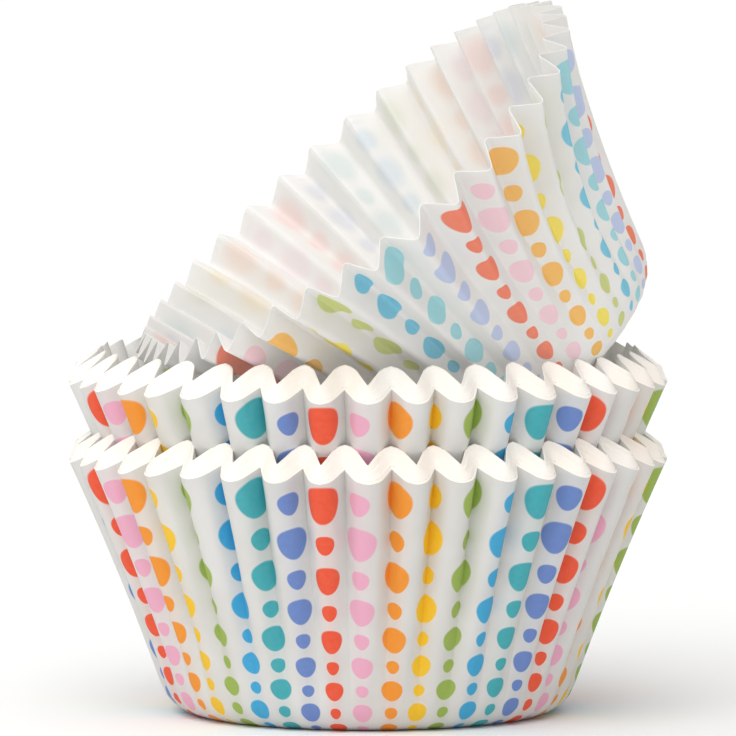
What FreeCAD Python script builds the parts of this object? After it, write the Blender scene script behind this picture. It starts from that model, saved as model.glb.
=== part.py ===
import FreeCAD, Part
import math
import os

# A stack of pleated paper baking liners. Two pressed nests stand one in the other, and one
# loose liner is tipped into the mouth of the upper nest, leaning to the left.
# Millimetres and degrees. +Z is up, -Y faces the viewer, and the origin is the middle of
# the face that the stack stands on.

# Pleats, the same on every liner
flute_count = 40
flute_wander = 0.35
wall_wander = 0.18
wall_wander_turn = 90.0

# Paper, and how closely the liners of a nest are pressed
paper = 0.1
liner_spacing = 0.253
liners_per_nest = 8

# The middle surface of a nest, from its flat base out to the rim
base_radius = 22.0
base_corner_radius = 4.4
wall_length = 32.0
wall_angle_low = 17.0
wall_angle_rim = 21.5
corner_half_depth = 0.12
rim_half_depth = 1.72
fold_radius = 0.96

# The cut edge: lower on a ridge than in a valley, and each inner liner stands higher
rim_drop_ridge = 0.23
rim_lift_valley = 0.23
inner_rise_ridge = 0.26
inner_rise_valley = 0.34

# The loose liner, which has opened since it left its nest
tipped_base_radius = 18.3
tipped_corner_radius = 6.2
tipped_wall_length = 33.75
tipped_angle_low = 14.1
tipped_angle_rim = 30.2
tipped_half_depth = 1.65
tipped_fold_radius = 0.62
mouth_shift = 3.9
mouth_shift_turn = -17.0
mouth_oval = -11.4
mouth_oval_turn = 7.6
tipped_roll = 5.8
lean_left = 41.2
lean_forward = 8.9
tipped_reach = 20.3

# Clearances between what rests and what carries it
nest_gap = 0.3
tipped_gap = 0.3

pitch = 360.0 / flute_count
nest_half = liner_spacing * (liners_per_nest - 1) / 2
sew_tolerance = 0.001

# How finely the wall's curve and the resting places are worked out
wall_steps = 8
seat_rows = 12
seat_points_per_flute = 4
seat_halvings = 14


class Form:
    """The middle surface of a nest or of one liner, standing on its own flat base."""

    def __init__(self, base, corner, length, low, rim, depth, fold, shift=0.0, oval=0.0):
        self.base = base
        self.corner = corner
        self.length = length
        self.low = low
        self.rim = rim
        self.depth = depth
        self.fold = fold
        self.shift = shift
        self.oval = oval
        self.corner_arc = corner * math.radians(90.0 - low)
        self.reach = self.corner_arc + length

    def rim_angle(self, turn):
        """Wall angle at the rim, which varies round an oval mouth."""
        shifted = self.shift * math.cos(math.radians(turn - mouth_shift_turn))
        stretched = self.oval * math.cos(math.radians(2 * (turn - mouth_oval_turn)))
        return self.rim + shifted + stretched

    def wall(self, along, turn):
        """Radius, height and outward normal at a distance along the sheet from the base edge."""
        bend = min(along, self.corner_arc) / self.corner
        radius = self.base + self.corner * math.sin(bend)
        height = self.corner * (1 - math.cos(bend))
        lean = math.pi / 2 - bend
        rest = along - self.corner_arc
        if rest > 0:
            low = math.radians(self.low)
            rim = math.radians(self.rim_angle(turn))
            step = rest / wall_steps
            for index in range(wall_steps):
                lean = low + (rim - low) * (index + 0.5) * step / self.length
                radius += step * math.sin(lean)
                height += step * math.cos(lean)
            lean = low + (rim - low) * rest / self.length
            radius += wall_wander * wander(turn + wall_wander_turn) * rest / self.length
        return radius, height, math.cos(lean), -math.sin(lean)

    def half_depth(self, along):
        """Half the height of a flute, from nothing at the base edge to full at the rim."""
        if along < self.corner_arc:
            return corner_half_depth * along / self.corner_arc
        rest = (along - self.corner_arc) / self.length
        return corner_half_depth + (self.depth - corner_half_depth) * rest

    def point(self, along, flute, offset):
        """Radius, height and turn on the surface moved outward by an offset."""
        turn = flute_turn(flute)
        radius, height, out, up = self.wall(along, turn)
        stand = fold_height(self, along, radius, flute, offset)
        return radius + stand * out, height + stand * up, turn

    def vector(self, along, flute, offset):
        """The same place as a point in space."""
        radius, height, turn = self.point(along, flute, offset)
        angle = math.radians(turn)
        return FreeCAD.Vector(radius * math.cos(angle), radius * math.sin(angle), height)


def wander(turn):
    """A slow unevenness round the wall, between about -1 and 1."""
    bends = ((3, 20.0), (7, 140.0), (11, 260.0), (17, 75.0))
    return sum(math.sin(math.radians(count * turn + start)) for count, start in bends) / 2


def flute_turn(flute):
    """Where a flute lies round the liner, a little off an even pitch."""
    even = pitch * flute
    return even + flute_wander * wander(even)


def fold_corners(form, along, radius, offset):
    """Across and up of the corners of half a flute: a ridge fold, a flat flank, a valley fold."""
    half_pitch = radius * math.radians(pitch) / 2
    centre = form.half_depth(along) - form.fold
    slope = math.atan2(2 * centre, half_pitch)
    slope += math.asin(2 * form.fold / math.hypot(half_pitch, 2 * centre))
    ridge = form.fold + offset
    valley = form.fold - offset
    return ((0.0, centre + ridge),
            (ridge * math.sin(slope), centre + ridge * math.cos(slope)),
            (half_pitch - valley * math.sin(slope), -centre - valley * math.cos(slope)),
            (half_pitch, -centre - valley))


def fold_height(form, along, radius, flute, offset):
    """Height of the pleats over the middle surface, anywhere round the wall."""
    corners = fold_corners(form, along, radius, offset)
    across = abs(flute - round(flute)) * 2 * corners[-1][0]
    for (left, left_up), (right, right_up) in zip(corners, corners[1:]):
        if right > left and across <= right:
            return left_up + (right_up - left_up) * (across - left) / (right - left)
    return corners[-1][1]


def rim_rise(inward):
    """How much further the sheet reaches at a ridge and in a valley, this far into a nest."""
    return (inward * inner_rise_ridge - rim_drop_ridge,
            inward * inner_rise_valley + rim_lift_valley)


def rim_lift(flute, rise):
    """The share of that reach that falls to one place round the rim."""
    ridge = 1 - 2 * abs(flute - round(flute))
    return rise[0] * ridge + rise[1] * (1 - ridge)


def ring(form, along, offset, rise=(0.0, 0.0), folded=True):
    """The corner points of one section round the liner."""
    points = []
    for index in range(2 * flute_count):
        turn = flute_turn(index / 2)
        corners = fold_corners(form, along, form.wall(along, turn)[0], offset)
        half_pitch = corners[-1][0]
        if index % 2:
            reach = 1 - corners[2][0] / half_pitch
        else:
            reach = corners[1][0] / half_pitch
        places = (-reach / 2, 0.0, reach / 2) if folded else (0.0,)
        for place in places:
            flute = index / 2 + place
            points.append(form.vector(along + rim_lift(flute, rise), flute, offset))
    return points


def band(lower, upper):
    """Triangles between two rings, the upper one with as many points or three times as many."""
    group = len(upper) // len(lower)
    faces = []
    for index in range(len(upper)):
        follower = (index + 1) % len(upper)
        start = lower[index // group]
        end = lower[follower // group]
        faces.append((start, upper[follower], upper[index]))
        if start != end:
            faces.append((start, end, upper[follower]))
    return faces


def liner(form, offset, inward):
    """One paper liner: an outer and an inner skin, joined round the cut edge at the rim."""
    triangles = []
    discs = []
    edges = []
    for side in (offset + paper / 2, offset - paper / 2):
        rings = [ring(form, form.corner_arc * share, side, folded=False) for share in (0, 0.5, 1)]
        rings.append(ring(form, form.corner_arc + form.length / 2, side))
        rings.append(ring(form, form.reach, side, rim_rise(inward)))
        discs.append(Part.Face(Part.makePolygon(rings[0] + [rings[0][0]])))
        for lower, upper in zip(rings, rings[1:]):
            triangles.extend(band(lower, upper))
        edges.append(rings[-1])
    triangles.extend(band(edges[0], edges[1]))
    corners = [point for triangle in triangles for point in triangle]
    facets = [(3 * index, 3 * index + 1, 3 * index + 2) for index in range(len(triangles))]
    walls = Part.Shape()
    walls.makeShapeFromMesh((corners, facets), sew_tolerance, False)
    skin = Part.makeCompound(discs + walls.Faces)
    skin.sewShape()
    solid = Part.makeSolid(skin.Shells[0])
    if solid.Volume < 0:
        solid.reverse()
    return solid


def skin_points(form, offset, inward):
    """Points on one face of a liner, in its own frame, for finding where it comes to rest."""
    rise = rim_rise(inward)
    points = []
    for index in range(seat_rows + 1):
        for step in range(seat_points_per_flute * flute_count):
            flute = step / seat_points_per_flute
            top = form.reach + rim_lift(flute, rise)
            points.append(form.vector(top * index / seat_rows, flute, offset))
    return points


def floor_height(form, offset, inward, point):
    """Height of the inside of a nest straight under or over a point, or None outside its rim."""
    turn = math.degrees(math.atan2(point.y, point.x)) % 360
    flute = (turn - flute_wander * wander(turn)) / pitch
    radius = math.hypot(point.x, point.y)
    low = 0.0
    high = form.reach + rim_lift(flute, rim_rise(inward))
    if radius > form.point(high, flute, offset)[0]:
        return None
    for _ in range(seat_halvings):
        middle = (low + high) / 2
        if form.point(middle, flute, offset)[0] < radius:
            low = middle
        else:
            high = middle
    return form.point(low, flute, offset)[1]


def rest_height(points, form, offset, inward):
    """How far the points must rise to clear the inside of a nest."""
    lifts = []
    for point in points:
        floor = floor_height(form, offset, inward, point)
        if floor is not None:
            lifts.append(floor - point.z)
    return max(lifts)


def tipped_points(form, offset, inward):
    """Points on a liner's outer face, turned and tipped as the loose liner lies."""
    turned = lean_rotation()
    return [turned.multVec(point) for point in skin_points(form, offset, inward)]


def lean_rotation():
    """The loose liner rolled about its own axis, tipped forward, then tipped to the left."""
    roll = FreeCAD.Rotation(FreeCAD.Vector(0, 0, 1), tipped_roll)
    forward = FreeCAD.Rotation(FreeCAD.Vector(1, 0, 0), lean_forward)
    left = FreeCAD.Rotation(FreeCAD.Vector(0, 1, 0), -lean_left)
    return left.multiply(forward).multiply(roll)


def build_nests(form, lifts):
    """The liners of each nest, numbered from the outermost, raised to where the nest stands."""
    nodes = {}
    for index in range(liners_per_nest):
        pressed = liner(form, nest_half - index * liner_spacing, index)
        for name, lift in lifts.items():
            solid = pressed.copy()
            solid.translate(FreeCAD.Vector(0, 0, lift))
            nodes[name + "_liner_" + str(index + 1)] = solid
    return nodes


def build_stack():
    """Every liner of the stack by its node name."""
    nest = Form(base_radius, base_corner_radius, wall_length, wall_angle_low,
                wall_angle_rim, rim_half_depth, fold_radius)
    tipped = Form(tipped_base_radius, tipped_corner_radius, tipped_wall_length,
                  tipped_angle_low, tipped_angle_rim, tipped_half_depth,
                  tipped_fold_radius, mouth_shift, mouth_oval)
    outside = nest_half + paper / 2
    innermost = liners_per_nest - 1

    lower_lift = outside
    seat = skin_points(nest, outside, 0)
    step = rest_height(seat, nest, -outside - nest_gap, innermost)
    upper_lift = lower_lift + step

    reach = FreeCAD.Vector(tipped_reach, 0, 0)
    loose = [point + reach for point in tipped_points(tipped, paper / 2, 0)]
    rest = rest_height(loose, nest, -outside - tipped_gap, innermost)
    place = FreeCAD.Vector(tipped_reach, 0, upper_lift + rest)
    print("upper nest stands", round(step, 2), "above the lower one")
    print("tipped liner's base centre at", [round(value, 2) for value in place])

    nodes = build_nests(nest, {"lower_nest": lower_lift, "upper_nest": upper_lift})
    single = liner(tipped, 0.0, 0)
    single.Placement = FreeCAD.Placement(place, lean_rotation())
    nodes["tipped_liner"] = single
    return nodes


os.makedirs("parts", exist_ok=True)
for node, solid in build_stack().items():
    solid.exportStep("parts/" + node + ".step")
    print(node, round(solid.Volume, 1), "cubic mm")
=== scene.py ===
import math

import bpy
import numpy as np
from mathutils import Matrix, Vector


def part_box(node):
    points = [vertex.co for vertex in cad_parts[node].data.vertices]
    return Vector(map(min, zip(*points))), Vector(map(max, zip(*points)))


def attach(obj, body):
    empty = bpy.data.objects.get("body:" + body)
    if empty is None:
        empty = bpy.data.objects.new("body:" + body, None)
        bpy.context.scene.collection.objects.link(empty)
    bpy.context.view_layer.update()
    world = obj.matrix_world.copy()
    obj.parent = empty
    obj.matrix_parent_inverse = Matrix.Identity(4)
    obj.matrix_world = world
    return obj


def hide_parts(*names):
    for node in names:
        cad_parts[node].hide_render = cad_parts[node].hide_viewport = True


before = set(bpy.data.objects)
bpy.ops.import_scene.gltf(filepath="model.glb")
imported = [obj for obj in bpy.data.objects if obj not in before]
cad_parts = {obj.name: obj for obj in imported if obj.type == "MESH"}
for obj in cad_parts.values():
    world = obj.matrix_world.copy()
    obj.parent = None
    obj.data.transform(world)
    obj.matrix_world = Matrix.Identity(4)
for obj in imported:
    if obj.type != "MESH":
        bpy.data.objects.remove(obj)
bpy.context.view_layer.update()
print("frame loaded with", len(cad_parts), "liners")

pleats = {
    "count": 40,  # flutes round every liner
    "turnWander": 0.35,  # degrees that a flute strays from an even pitch
    "wallWander": 0.00018,
    "wallTurn": 90.0,
    "waves": ((3, 20.0), (7, 140.0), (11, 260.0), (17, 75.0)),
    "depthWaves": ((5, 10.0), (13, 200.0), (19, 310.0)),
    "depthWander": 0.05,
    "curveSteps": 8,
    "leastSlope": 1e-9,  # where the folds have flattened out
}

paper = {
    "thickness": 0.0001,
    "spacing": 0.000253,  # between neighbours in a pressed nest
    "perNest": 8,
    "fanGap": 0.000012,  # left between the cut edges in a fan
    "cutWander": 0.00007,  # how unevenly the edge was cut
    "cutPace": 3,  # times faster than the flutes stray
    "cutShift": 47,  # degrees from one liner's cut to the next one's
    "smoothAngle": 34.0,
}

nestLiner = {
    "baseRadius": 0.022,
    "cornerRadius": 0.0044,
    "wallLength": 0.032,
    "angleLow": 17.0,
    "angleRim": 21.5,
    "cornerDepth": 0.00012,
    "rimDepth": 0.00172,
    "foldRadius": 0.00096,
    "mouthShift": 0.0,
    "mouthOval": 0.0,
}

tippedLiner = {
    "baseRadius": 0.0183,
    "cornerRadius": 0.0062,
    "wallLength": 0.03375,
    "angleLow": 14.1,
    "angleRim": 30.2,
    "cornerDepth": 0.00012,
    "rimDepth": 0.00165,
    "foldRadius": 0.00062,
    "mouthShift": 3.9,  # degrees that the wall opens to one side
    "mouthOval": -11.4,
    "roll": 5.8,
    "leanLeft": 41.2,
    "leanForward": 8.9,
}
mouthTurns = {"shift": -17.0, "oval": 7.6}

rim = {
    "dropRidge": 0.00023,  # the cut edge is lower on a ridge
    "liftValley": 0.00023,
    "innerRidge": 0.00026,  # and each inner liner stands higher
    "innerValley": 0.00034,
}

fineness = {
    "shownAround": 960, "shownRings": 22,
    "innerAround": 480, "innerRings": 8,
    "tippedRings": 26,
    "cornerRings": 5,  # of each liner's rings, the ones in the rounded corner
}

discWidth = 0.128  # the flat-disc map spans this much paper


def wander(turn, waves):
    return sum(np.sin(np.radians(count * turn + start)) for count, start in waves) / 2


def fluteTurn(flute):
    even = flute * 360 / pleats["count"]
    return even + pleats["turnWander"] * wander(even, pleats["waves"])


def cornerArc(form):
    return form["cornerRadius"] * math.radians(90 - form["angleLow"])


def wallAt(form, along, turn):
    # radius, height and lean of the unpleated wall, this far along the paper from the base
    bend = np.minimum(along, cornerArc(form)) / form["cornerRadius"]
    radius = form["baseRadius"] + form["cornerRadius"] * np.sin(bend)
    height = form["cornerRadius"] * (1 - np.cos(bend))
    rest = np.maximum(along - cornerArc(form), 0)
    shifted = form["mouthShift"] * np.cos(np.radians(turn - mouthTurns["shift"]))
    stretched = form["mouthOval"] * np.cos(np.radians(2 * (turn - mouthTurns["oval"])))
    low = math.radians(form["angleLow"])
    opening = np.radians(form["angleRim"] + shifted + stretched) - low
    step = rest / pleats["curveSteps"]
    for index in range(pleats["curveSteps"]):
        lean = low + opening * (index + 0.5) * step / form["wallLength"]
        radius = radius + step * np.sin(lean)
        height = height + step * np.cos(lean)
    share = rest / form["wallLength"]
    radius = radius + pleats["wallWander"] * wander(turn + pleats["wallTurn"], pleats["waves"]) * share
    lean = np.where(rest > 0, low + opening * share, math.pi / 2 - bend)
    return radius, height, lean


def halfDepth(form, along, flute):
    corner = cornerArc(form)
    rest = np.clip((along - corner) / form["wallLength"], 0, None)
    even = flute * 360 / pleats["count"]
    uneven = 1 + pleats["depthWander"] * wander(even, pleats["depthWaves"]) * (1 - rest)
    wall = form["cornerDepth"] + (form["rimDepth"] - form["cornerDepth"]) * rest * uneven
    return np.where(along < corner, form["cornerDepth"] * along / corner, wall)


def pleatAt(form, along, radius, flute, share, offset):
    # across from the ridge and out from the wall, a share of the paper's way from ridge to valley
    pitch = radius * math.pi / pleats["count"]
    centre = halfDepth(form, along, flute) - form["foldRadius"]
    slope = np.arctan2(2 * centre, pitch)
    slope = slope + np.arcsin(2 * form["foldRadius"] / np.hypot(pitch, 2 * centre))
    slope = np.maximum(slope, pleats["leastSlope"])
    ridge = form["foldRadius"] + offset
    valley = form["foldRadius"] - offset
    startX, startUp = ridge * np.sin(slope), centre + ridge * np.cos(slope)
    endX, endUp = pitch - valley * np.sin(slope), -centre - valley * np.cos(slope)
    flank = np.hypot(endX - startX, endUp - startUp)
    run = share * (ridge * slope + flank + valley * slope)
    left = (1 - share) * (ridge * slope + flank + valley * slope)
    onFlank = np.clip((run - ridge * slope) / flank, 0, 1)
    across = startX + (endX - startX) * onFlank
    out = startUp + (endUp - startUp) * onFlank
    onRidge = run < ridge * slope
    across = np.where(onRidge, ridge * np.sin(run / ridge), across)
    out = np.where(onRidge, centre + ridge * np.cos(run / ridge), out)
    onValley = left < valley * slope
    across = np.where(onValley, pitch - valley * np.sin(left / valley), across)
    out = np.where(onValley, -centre - valley * np.cos(left / valley), out)
    return across / pitch / 2, out


def paperDisc(name, form, around, rings):
    # a flat paper disc, inset ring by ring down to the base it will stand on
    reach = cornerArc(form) + form["wallLength"]
    bpy.ops.object.select_all(action="DESELECT")
    bpy.ops.mesh.primitive_circle_add(vertices=around, radius=form["baseRadius"] + reach,
                                      fill_type="NGON")
    disc = bpy.context.object
    disc.name = name
    bpy.ops.object.mode_set(mode="EDIT")
    bpy.ops.mesh.select_all(action="SELECT")
    cornerRings = fineness["cornerRings"]
    wallRings = rings - cornerRings
    wallSteps = [form["wallLength"] / wallRings] * wallRings
    cornerSteps = [cornerArc(form) / cornerRings] * cornerRings
    for step in wallSteps + cornerSteps:
        bpy.ops.mesh.inset(thickness=step, use_even_offset=True)
    bpy.ops.mesh.select_all(action="SELECT")
    bpy.ops.mesh.flip_normals()  # the print is on the side that ends up outside
    bpy.ops.object.mode_set(mode="OBJECT")
    return disc


def foldAt(form, flatRadius, paperTurn, offset, inward):
    # where a place on the flat disc goes when the paper is pressed, and how far out it really lies
    along = np.maximum(flatRadius - form["baseRadius"], 0)
    place = paperTurn * pleats["count"] / 360
    nearest = np.round(place)
    side = np.sign(place - nearest)
    share = np.abs(place - nearest) * 2
    rise = np.clip((along - cornerArc(form)) / form["wallLength"], 0, 1) ** 2
    ridgeLift = inward * rim["innerRidge"] - rim["dropRidge"]
    valleyLift = inward * rim["innerValley"] + rim["liftValley"]
    cutTurn = paperTurn * paper["cutPace"] + inward * paper["cutShift"]
    cut = paper["cutWander"] * wander(cutTurn, pleats["waves"])
    along = along + (ridgeLift * (1 - share) + valleyLift * share + cut) * rise
    radius = wallAt(form, along, fluteTurn(place))[0]
    across, out = pleatAt(form, along, radius, nearest, share, offset)
    turn = fluteTurn(nearest + side * across)
    radius, height, lean = wallAt(form, along, turn)
    radius = radius + out * np.cos(lean)
    height = height - out * np.sin(lean)
    base = along <= 0
    radius = np.where(base, flatRadius, radius)
    height = np.where(base, -offset, height)
    angle = np.radians(np.where(base, paperTurn, turn))
    reach = np.where(base, flatRadius, along + form["baseRadius"])
    return np.stack([radius * np.cos(angle), radius * np.sin(angle), height], 1), reach


def foldDisc(disc, form, offset, inward):
    # the disc pressed into its pleated shape, with the flat place kept as the print's map
    mesh = disc.data
    flat = np.array([vertex.co[:2] for vertex in mesh.vertices])
    flatRadius = np.hypot(flat[:, 0], flat[:, 1])
    paperTurn = np.degrees(np.arctan2(flat[:, 1], flat[:, 0]))
    folded, reach = foldAt(form, flatRadius, paperTurn, offset, inward)
    spread = np.radians(paperTurn)
    flatMap = mesh.uv_layers.new(name="flatDisc")
    corners = np.zeros(len(mesh.loops), int)
    mesh.loops.foreach_get("vertex_index", corners)
    spots = np.stack([reach * np.cos(spread), reach * np.sin(spread)], 1) / discWidth + 0.5
    flatMap.uv.foreach_set("vector", spots[corners].astype(np.float32).ravel())
    mesh.vertices.foreach_set("co", folded.astype(np.float32).ravel())
    mesh.update()
    onRim = np.flatnonzero(flatRadius > flatRadius.max() - paper["thickness"])
    return onRim, flatRadius[onRim], paperTurn[onRim]


def fanEdge(piece, rimPlaces, form, offset, inward):
    # the inner side of the cut edge is drawn up to the next liner's, as the pressed fan looks
    onRim, rimRadius, rimTurn = rimPlaces
    spots = foldAt(form, rimRadius, rimTurn, offset - paper["spacing"] + paper["fanGap"], inward + 1)[0]
    half = len(piece.data.vertices) // 2  # the second half is the inner side
    for index, spot in zip(onRim, spots):
        piece.data.vertices[int(index) + half].co = spot


def thicken(piece, sides, thickness):
    for look in sides:  # outside, inside, cut edge
        piece.data.materials.append(look)
    solid = piece.modifiers.new("paper", "SOLIDIFY")
    solid.thickness = thickness
    solid.offset = -1
    solid.use_even_offset = True
    solid.material_offset = 1
    solid.material_offset_rim = 2
    bpy.context.view_layer.objects.active = piece
    piece.select_set(True)
    bpy.ops.object.modifier_apply(modifier=solid.name)
    bpy.ops.object.shade_smooth_by_angle(angle=math.radians(paper["smoothAngle"]))


def finishPiece(piece, node):
    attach(piece, "root")
    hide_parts(node)


# Looks

def linear(colour):
    # a colour as a painter's hex string, made linear
    parts = [int(colour[index:index + 2], 16) / 255 for index in (1, 3, 5)]
    return [part / 12.92 if part <= 0.04045 else ((part + 0.055) / 1.055) ** 2.4 for part in parts]


dots = {
    "columns": 48,
    "colours": ("#ec5029", "#eaa9c2", "#f0921c", "#f3c206",
                "#98b24a", "#2fa3d2", "#37a7b0", "#6684c4"),
    # the same inks paled for the tipped liner: painted light for the strong light that washes out its
    # print
    "paintedLightInks": ("#ee6038", "#eebcc8", "#f1a52c", "#f2d52a",
                    "#b9c46a", "#52b2d2", "#84c7d1", "#a8b8e0"),
    "firstRow": 0.0561,  # flat radius of the outermost row
    "outermost": 0.0596,  # no print further out than this
    "rowRatio": 0.807,  # from one big dot to the next one in
    "bigSize": 0.0455,  # radii, as shares of the flat radius
    "smallSize": 0.029,
    "edge": 0.06,
    "blurredEdge": 0.5,  # as it shows through the paper
    "egg": 0.16,  # how much wider a dot is towards the rim
    "uneven": 0.14,  # how far the sizes stray
    "innermost": 0.0222,
    "margin": 0.0006,  # softness of the print's two ends
    "tintWidth": 0.062,  # half the width of the tint that hidden prints give a column
    "nestColumn": 13.19,  # where the columns start on the nests
    "tippedColumn": 10.85,
}


def worked(tree, operation, *values):
    made = tree.nodes.new("ShaderNodeMath")
    made.operation = operation
    for socket, value in zip(made.inputs, values):
        if isinstance(value, (int, float)):
            socket.default_value = value
        else:
            tree.links.new(value, socket)
    return made.outputs[0]


def ranged(tree, value, fromLow, fromHigh, toLow=0.0, toHigh=1.0):
    made = tree.nodes.new("ShaderNodeMapRange")
    made.interpolation_type = "SMOOTHSTEP"
    tree.links.new(value, made.inputs["Value"])
    for name, number in (("From Min", fromLow), ("From Max", fromHigh),
                         ("To Min", toLow), ("To Max", toHigh)):
        made.inputs[name].default_value = number
    return made.outputs["Result"]


def dotShape(tree, across, row, centre, size, edge, uneven):
    # how fully a place lies in the dot centred on this row
    step = -math.log(dots["rowRatio"])
    up = worked(tree, "MULTIPLY", worked(tree, "SUBTRACT", row, centre), step)
    pinch = worked(tree, "MULTIPLY_ADD", up, dots["egg"] / size, 1.0)
    wide = worked(tree, "MULTIPLY", across, pinch)
    reach = worked(tree, "SQRT", worked(tree, "ADD", worked(tree, "MULTIPLY", wide, wide),
                                        worked(tree, "MULTIPLY", up, up)))
    sized = worked(tree, "DIVIDE", worked(tree, "DIVIDE", reach, size), uneven)
    return ranged(tree, sized, 1 + edge, 1 - edge)


def printedDots(tree, colours, firstColumn, edge):
    # the mask, the tint and the colour of the printed rows, on the flat disc
    flat = tree.nodes.new("ShaderNodeUVMap")
    flat.uv_map = "flatDisc"
    split = tree.nodes.new("ShaderNodeSeparateXYZ")
    tree.links.new(flat.outputs["UV"], split.inputs["Vector"])
    x = worked(tree, "MULTIPLY", worked(tree, "SUBTRACT", split.outputs["X"], 0.5), discWidth)
    y = worked(tree, "MULTIPLY", worked(tree, "SUBTRACT", split.outputs["Y"], 0.5), discWidth)
    radius = worked(tree, "SQRT", worked(tree, "ADD", worked(tree, "MULTIPLY", x, x),
                                         worked(tree, "MULTIPLY", y, y)))
    turn = worked(tree, "ARCTAN2", y, x)
    perColumn = 2 * math.pi / dots["columns"]
    column = worked(tree, "MULTIPLY_ADD", turn, 1 / perColumn, firstColumn)
    nearest = worked(tree, "FLOOR", worked(tree, "ADD", column, 0.5))
    across = worked(tree, "MULTIPLY", worked(tree, "SUBTRACT", column, nearest), perColumn)
    number = worked(tree, "FLOORED_MODULO", nearest, float(dots["columns"]))
    odd = worked(tree, "MULTIPLY", worked(tree, "FLOORED_MODULO", nearest, 2.0), 0.5)
    row = worked(tree, "ADD", worked(tree, "LOGARITHM",
                                     worked(tree, "DIVIDE", radius, dots["firstRow"]),
                                     dots["rowRatio"]), odd)
    bigRow = worked(tree, "FLOOR", worked(tree, "ADD", row, 0.5))
    smallRow = worked(tree, "ADD", worked(tree, "FLOOR", row), 0.5)
    masks = []
    for centre, size in ((bigRow, dots["bigSize"]), (smallRow, dots["smallSize"])):
        chance = tree.nodes.new("ShaderNodeTexWhiteNoise")
        chance.noise_dimensions = "2D"
        both = tree.nodes.new("ShaderNodeCombineXYZ")
        tree.links.new(number, both.inputs["X"])
        tree.links.new(centre, both.inputs["Y"])
        tree.links.new(both.outputs["Vector"], chance.inputs["Vector"])
        uneven = worked(tree, "MULTIPLY_ADD", chance.outputs["Value"], dots["uneven"],
                        1 - dots["uneven"] / 2)
        masks.append(dotShape(tree, across, row, centre, size, edge, uneven))
    mask = worked(tree, "MAXIMUM", *masks)
    tint = ranged(tree, worked(tree, "ABSOLUTE", across), dots["tintWidth"], 0.0)
    for end, inside in ((dots["innermost"], 1), (dots["outermost"], -1)):
        printed = ranged(tree, radius, end, end + inside * dots["margin"])
        mask = worked(tree, "MULTIPLY", mask, printed)
        tint = worked(tree, "MULTIPLY", tint, printed)
    ramp = tree.nodes.new("ShaderNodeValToRGB")
    ramp.color_ramp.interpolation = "CONSTANT"
    total = len(colours)
    while len(ramp.color_ramp.elements) < total:
        ramp.color_ramp.elements.new(1.0)
    for index, colour in enumerate(colours):
        element = ramp.color_ramp.elements[index]
        element.position = index / total
        element.color = (*linear(colour), 1)
    hue = worked(tree, "MULTIPLY_ADD", worked(tree, "FLOORED_MODULO", nearest, float(total)),
                 1 / total, 0.5 / total)
    tree.links.new(hue, ramp.inputs["Fac"])
    return mask, tint, ramp.outputs["Color"]


def blended(tree, share, first, second):
    made = tree.nodes.new("ShaderNodeMix")
    made.data_type = "RGBA"
    # sockets 6 and 7 are the two colours, and output 2 their blend
    for socket, value in ((made.inputs["Factor"], share), (made.inputs[6], first),
                          (made.inputs[7], second)):
        if hasattr(value, "links"):
            tree.links.new(value, socket)
        else:
            socket.default_value = value
    return made.outputs[2]


def noiseAt(tree, place, scale, detail):
    made = tree.nodes.new("ShaderNodeTexNoise")
    made.inputs["Scale"].default_value = scale
    made.inputs["Detail"].default_value = detail
    tree.links.new(place, made.inputs["Vector"])
    return made.outputs["Fac"]


surface = {
    "specular": 0.2,
    "throughDepth": 0.001,  # how far light spreads inside the sheet
    "throughWarmth": (1.0, 0.97, 0.93),
    "cloud": {"scale": 90.0, "detail": 3.0, "span": (0.3, 0.7)},  # mixes at random from the paler tone to the darker
    "fibre": {"scale": 1400.0, "detail": 4.0, "span": (0.2, 0.8)},
    "roughness": (0.55, 0.72),
    "bumpStrength": 0.25,
    "bumpDepth": 0.00004,
    "inkLoss": 0.12,  # ink takes unevenly on the fibres
}


# light and shade are the paper's paler and darker tones, which the cloud noise mixes at random
def paperLook(name, light, shade, inkStrength=0, tintStrength=0, colours=(), firstColumn=0, edge=0,
              through=0):
    look = bpy.data.materials.new(name)
    look.use_nodes = True
    tree = look.node_tree
    shader = tree.nodes["Principled BSDF"]
    shader.inputs["Specular IOR Level"].default_value = surface["specular"]
    shader.inputs["Subsurface Weight"].default_value = through  # light through a single sheet
    shader.inputs["Subsurface Scale"].default_value = surface["throughDepth"]
    shader.inputs["Subsurface Radius"].default_value = surface["throughWarmth"]
    place = tree.nodes.new("ShaderNodeTexCoord").outputs["Object"]
    cloud = noiseAt(tree, place, surface["cloud"]["scale"], surface["cloud"]["detail"])
    fibre = noiseAt(tree, place, surface["fibre"]["scale"], surface["fibre"]["detail"])
    colour = blended(tree, ranged(tree, cloud, *surface["cloud"]["span"]),
                     (*linear(light), 1), (*linear(shade), 1))
    if inkStrength:
        mask, tint, ink = printedDots(tree, colours, firstColumn, edge)
        colour = blended(tree, worked(tree, "MULTIPLY", tint, tintStrength), colour, ink)
        faded = worked(tree, "MULTIPLY_ADD", fibre, -surface["inkLoss"], 1 + surface["inkLoss"] / 2)
        strength = worked(tree, "MULTIPLY", worked(tree, "MULTIPLY", mask, inkStrength), faded)
        colour = blended(tree, strength, colour, ink)
    tree.links.new(colour, shader.inputs["Base Color"])
    tree.links.new(ranged(tree, fibre, *surface["fibre"]["span"], *surface["roughness"]),
                   shader.inputs["Roughness"])
    bump = tree.nodes.new("ShaderNodeBump")
    bump.inputs["Strength"].default_value = surface["bumpStrength"]
    bump.inputs["Distance"].default_value = surface["bumpDepth"]
    tree.links.new(fibre, bump.inputs["Height"])
    tree.links.new(bump.outputs["Normal"], shader.inputs["Normal"])
    return look


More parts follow.
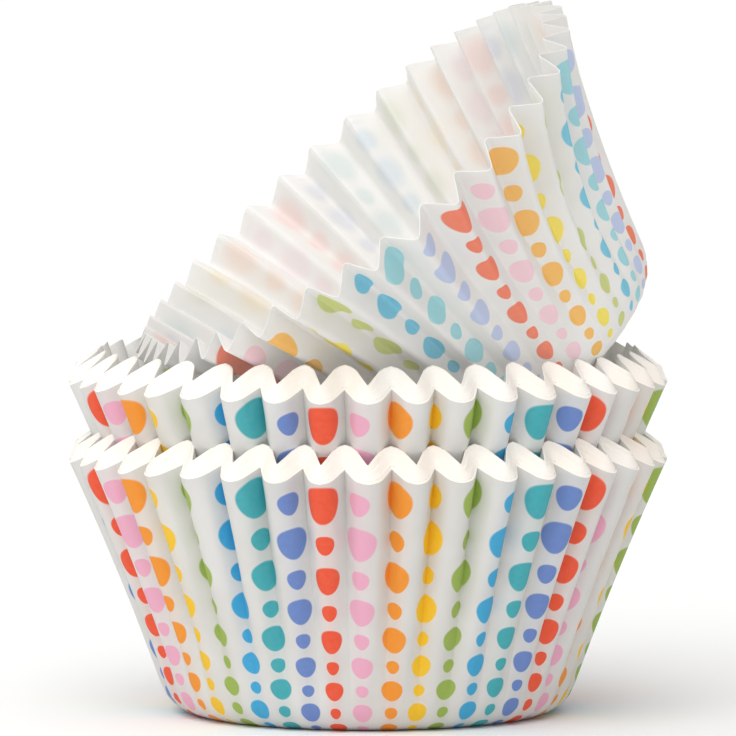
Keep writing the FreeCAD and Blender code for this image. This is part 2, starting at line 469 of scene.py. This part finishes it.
looks = {
    # the nests' printed outside is given greyer paper than their inside: painted shade for the walls
    # that face away from the overhead light
    "nestOutsidePaintedShade": paperLook("nestPaperPrintedPaintedShade", "#dfdedb", "#d8d6d2",
                             inkStrength=0.95, tintStrength=0.13, colours=dots["colours"],
                             firstColumn=dots["nestColumn"], edge=dots["edge"]),
    "nestInside": paperLook("nestPaperInside", "#f9f7f2", "#f4f1eb",
                            inkStrength=0.08, tintStrength=0.04, colours=dots["colours"],
                            firstColumn=dots["nestColumn"], edge=dots["blurredEdge"]),
    # the tipped liner's printed outside is given greyer paper than its inside: painted shade on the
    # side turned from the light
    "tippedOutsidePaintedShade": paperLook("tippedPaperPrintedPaintedShade", "#e5e4e1", "#dfddd9", through=0.4,
                               inkStrength=0.92, tintStrength=0.04, colours=dots["paintedLightInks"],
                               firstColumn=dots["tippedColumn"], edge=dots["edge"]),
    "tippedInside": paperLook("tippedPaperInside", "#f1efeb", "#ebe8e3", through=0.4,
                              inkStrength=0.17, tintStrength=0.05, colours=dots["colours"],
                              firstColumn=dots["tippedColumn"], edge=dots["blurredEdge"]),
    "tippedEdge": paperLook("tippedPaperEdge", "#efede9", "#e9e7e2"),
    # the cut edges are whiter than the paper's faces: painted light for the bright overhead light on
    # the pressed fans
    "cutEdgePaintedLight": paperLook("paperCutEdgePaintedLight", "#fffbf4", "#fff6ec"),
}
print("paper and print ready")


# The two pressed nests, each liner modelled once and set in both

nestLooks = [looks["nestOutsidePaintedShade"], looks["nestInside"], looks["cutEdgePaintedLight"]]
halfNest = paper["spacing"] * (paper["perNest"] - 1) / 2

for inward in range(paper["perNest"]):
    shown = inward in (0, paper["perNest"] - 1)
    offset = halfNest - inward * paper["spacing"]
    liner = paperDisc("lowerLiner" + str(inward + 1), nestLiner,
                      fineness["shownAround" if shown else "innerAround"],
                      fineness["shownRings" if shown else "innerRings"])
    outer = offset + paper["thickness"] / 2
    rimPlaces = foldDisc(liner, nestLiner, outer, inward)
    if inward < paper["perNest"] - 1:
        thicken(liner, nestLooks, paper["spacing"] - paper["fanGap"])
        fanEdge(liner, rimPlaces, nestLiner, outer, inward)
    else:
        thicken(liner, nestLooks, paper["thickness"])
    copied = liner.copy()
    copied.data = liner.data.copy()
    copied.name = "upperLiner" + str(inward + 1)
    bpy.context.collection.objects.link(copied)
    for piece, nest in ((liner, "lower_nest"), (copied, "upper_nest")):
        node = nest + "_liner_" + str(inward + 1)
        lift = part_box(node)[0].z + paper["thickness"] / 2 + offset
        piece.data.transform(Matrix.Translation((0, 0, lift)))
        finishPiece(piece, node)
print("nests pressed:", 2 * paper["perNest"], "liners")


# The loose liner, tipped into the mouth of the upper nest

loose = paperDisc("tippedLiner", tippedLiner, fineness["shownAround"], fineness["tippedRings"])
foldDisc(loose, tippedLiner, paper["thickness"] / 2, 0)
thicken(loose, [looks["tippedOutsidePaintedShade"], looks["tippedInside"], looks["tippedEdge"]], paper["thickness"])
turned = (Matrix.Rotation(math.radians(-tippedLiner["leanLeft"]), 4, "Y")
          @ Matrix.Rotation(math.radians(tippedLiner["leanForward"]), 4, "X")
          @ Matrix.Rotation(math.radians(tippedLiner["roll"]), 4, "Z"))
loose.data.transform(turned)
points = np.array([vertex.co for vertex in loose.data.vertices])
low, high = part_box("tipped_liner")
shift = (low + high) / 2 - Vector((points.min(0) + points.max(0)) / 2)
loose.data.transform(Matrix.Translation(shift))
finishPiece(loose, "tipped_liner")
print("loose liner tipped in, moved", [round(value * 1000, 2) for value in shift], "mm")


# Floor, light and camera

studio = {
    "floorSize": 40.0,
    "floorColour": "#f9f9f8",
    "floorRoughness": 0.8,
    "worldStrength": 0.42,
    # broad soft lights: strength, width and the tilt of each, in degrees
    "lights": {"topLight": (1.45, 90.0, (6.0, -14.0, 0.0)),
               "frontLight": (1.15, 55.0, (46.0, 0.0, -16.0))},
}

bpy.ops.object.select_all(action="DESELECT")
bpy.ops.mesh.primitive_plane_add(size=studio["floorSize"], location=(0, 0, 0))
floor = bpy.context.object
floor.name = "floor"
floorLook = bpy.data.materials.new("paleFloor")
floorLook.use_nodes = True
floorShader = floorLook.node_tree.nodes["Principled BSDF"]
floorShader.inputs["Base Color"].default_value = (*linear(studio["floorColour"]), 1)
floorShader.inputs["Roughness"].default_value = studio["floorRoughness"]
floor.data.materials.append(floorLook)

bpy.context.scene.view_settings.view_transform = "Standard"  # a product shot's plain whites

world = bpy.data.worlds.new("paleStudio")
bpy.context.scene.world = world
world.use_nodes = True
sky = world.node_tree.nodes["Background"]
sky.inputs["Color"].default_value = (1, 1, 1, 1)
sky.inputs["Strength"].default_value = studio["worldStrength"]

for name, (strength, width, tilts) in studio["lights"].items():
    bpy.ops.object.light_add(type="SUN", rotation=[math.radians(tilt) for tilt in tilts])
    light = bpy.context.object
    light.name = name
    light.data.energy = strength
    light.data.angle = math.radians(width)

shot = {
    "distance": 1.0,
    "elevation": 4.1,
    "aimHeight": 0.045,
    "lens": 374.0,
    "sensor": 36.0,
    "farthest": 60.0,
}
rise = math.radians(shot["elevation"])
bpy.ops.object.camera_add(
    location=(0, -shot["distance"] * math.cos(rise),
              shot["aimHeight"] + shot["distance"] * math.sin(rise)),
    rotation=(math.pi / 2 - rise, 0, 0))
camera = bpy.context.object
camera.data.lens = shot["lens"]
camera.data.sensor_width = shot["sensor"]
camera.data.clip_end = shot["farthest"]
bpy.context.scene.camera = camera
print("floor, light and camera set")
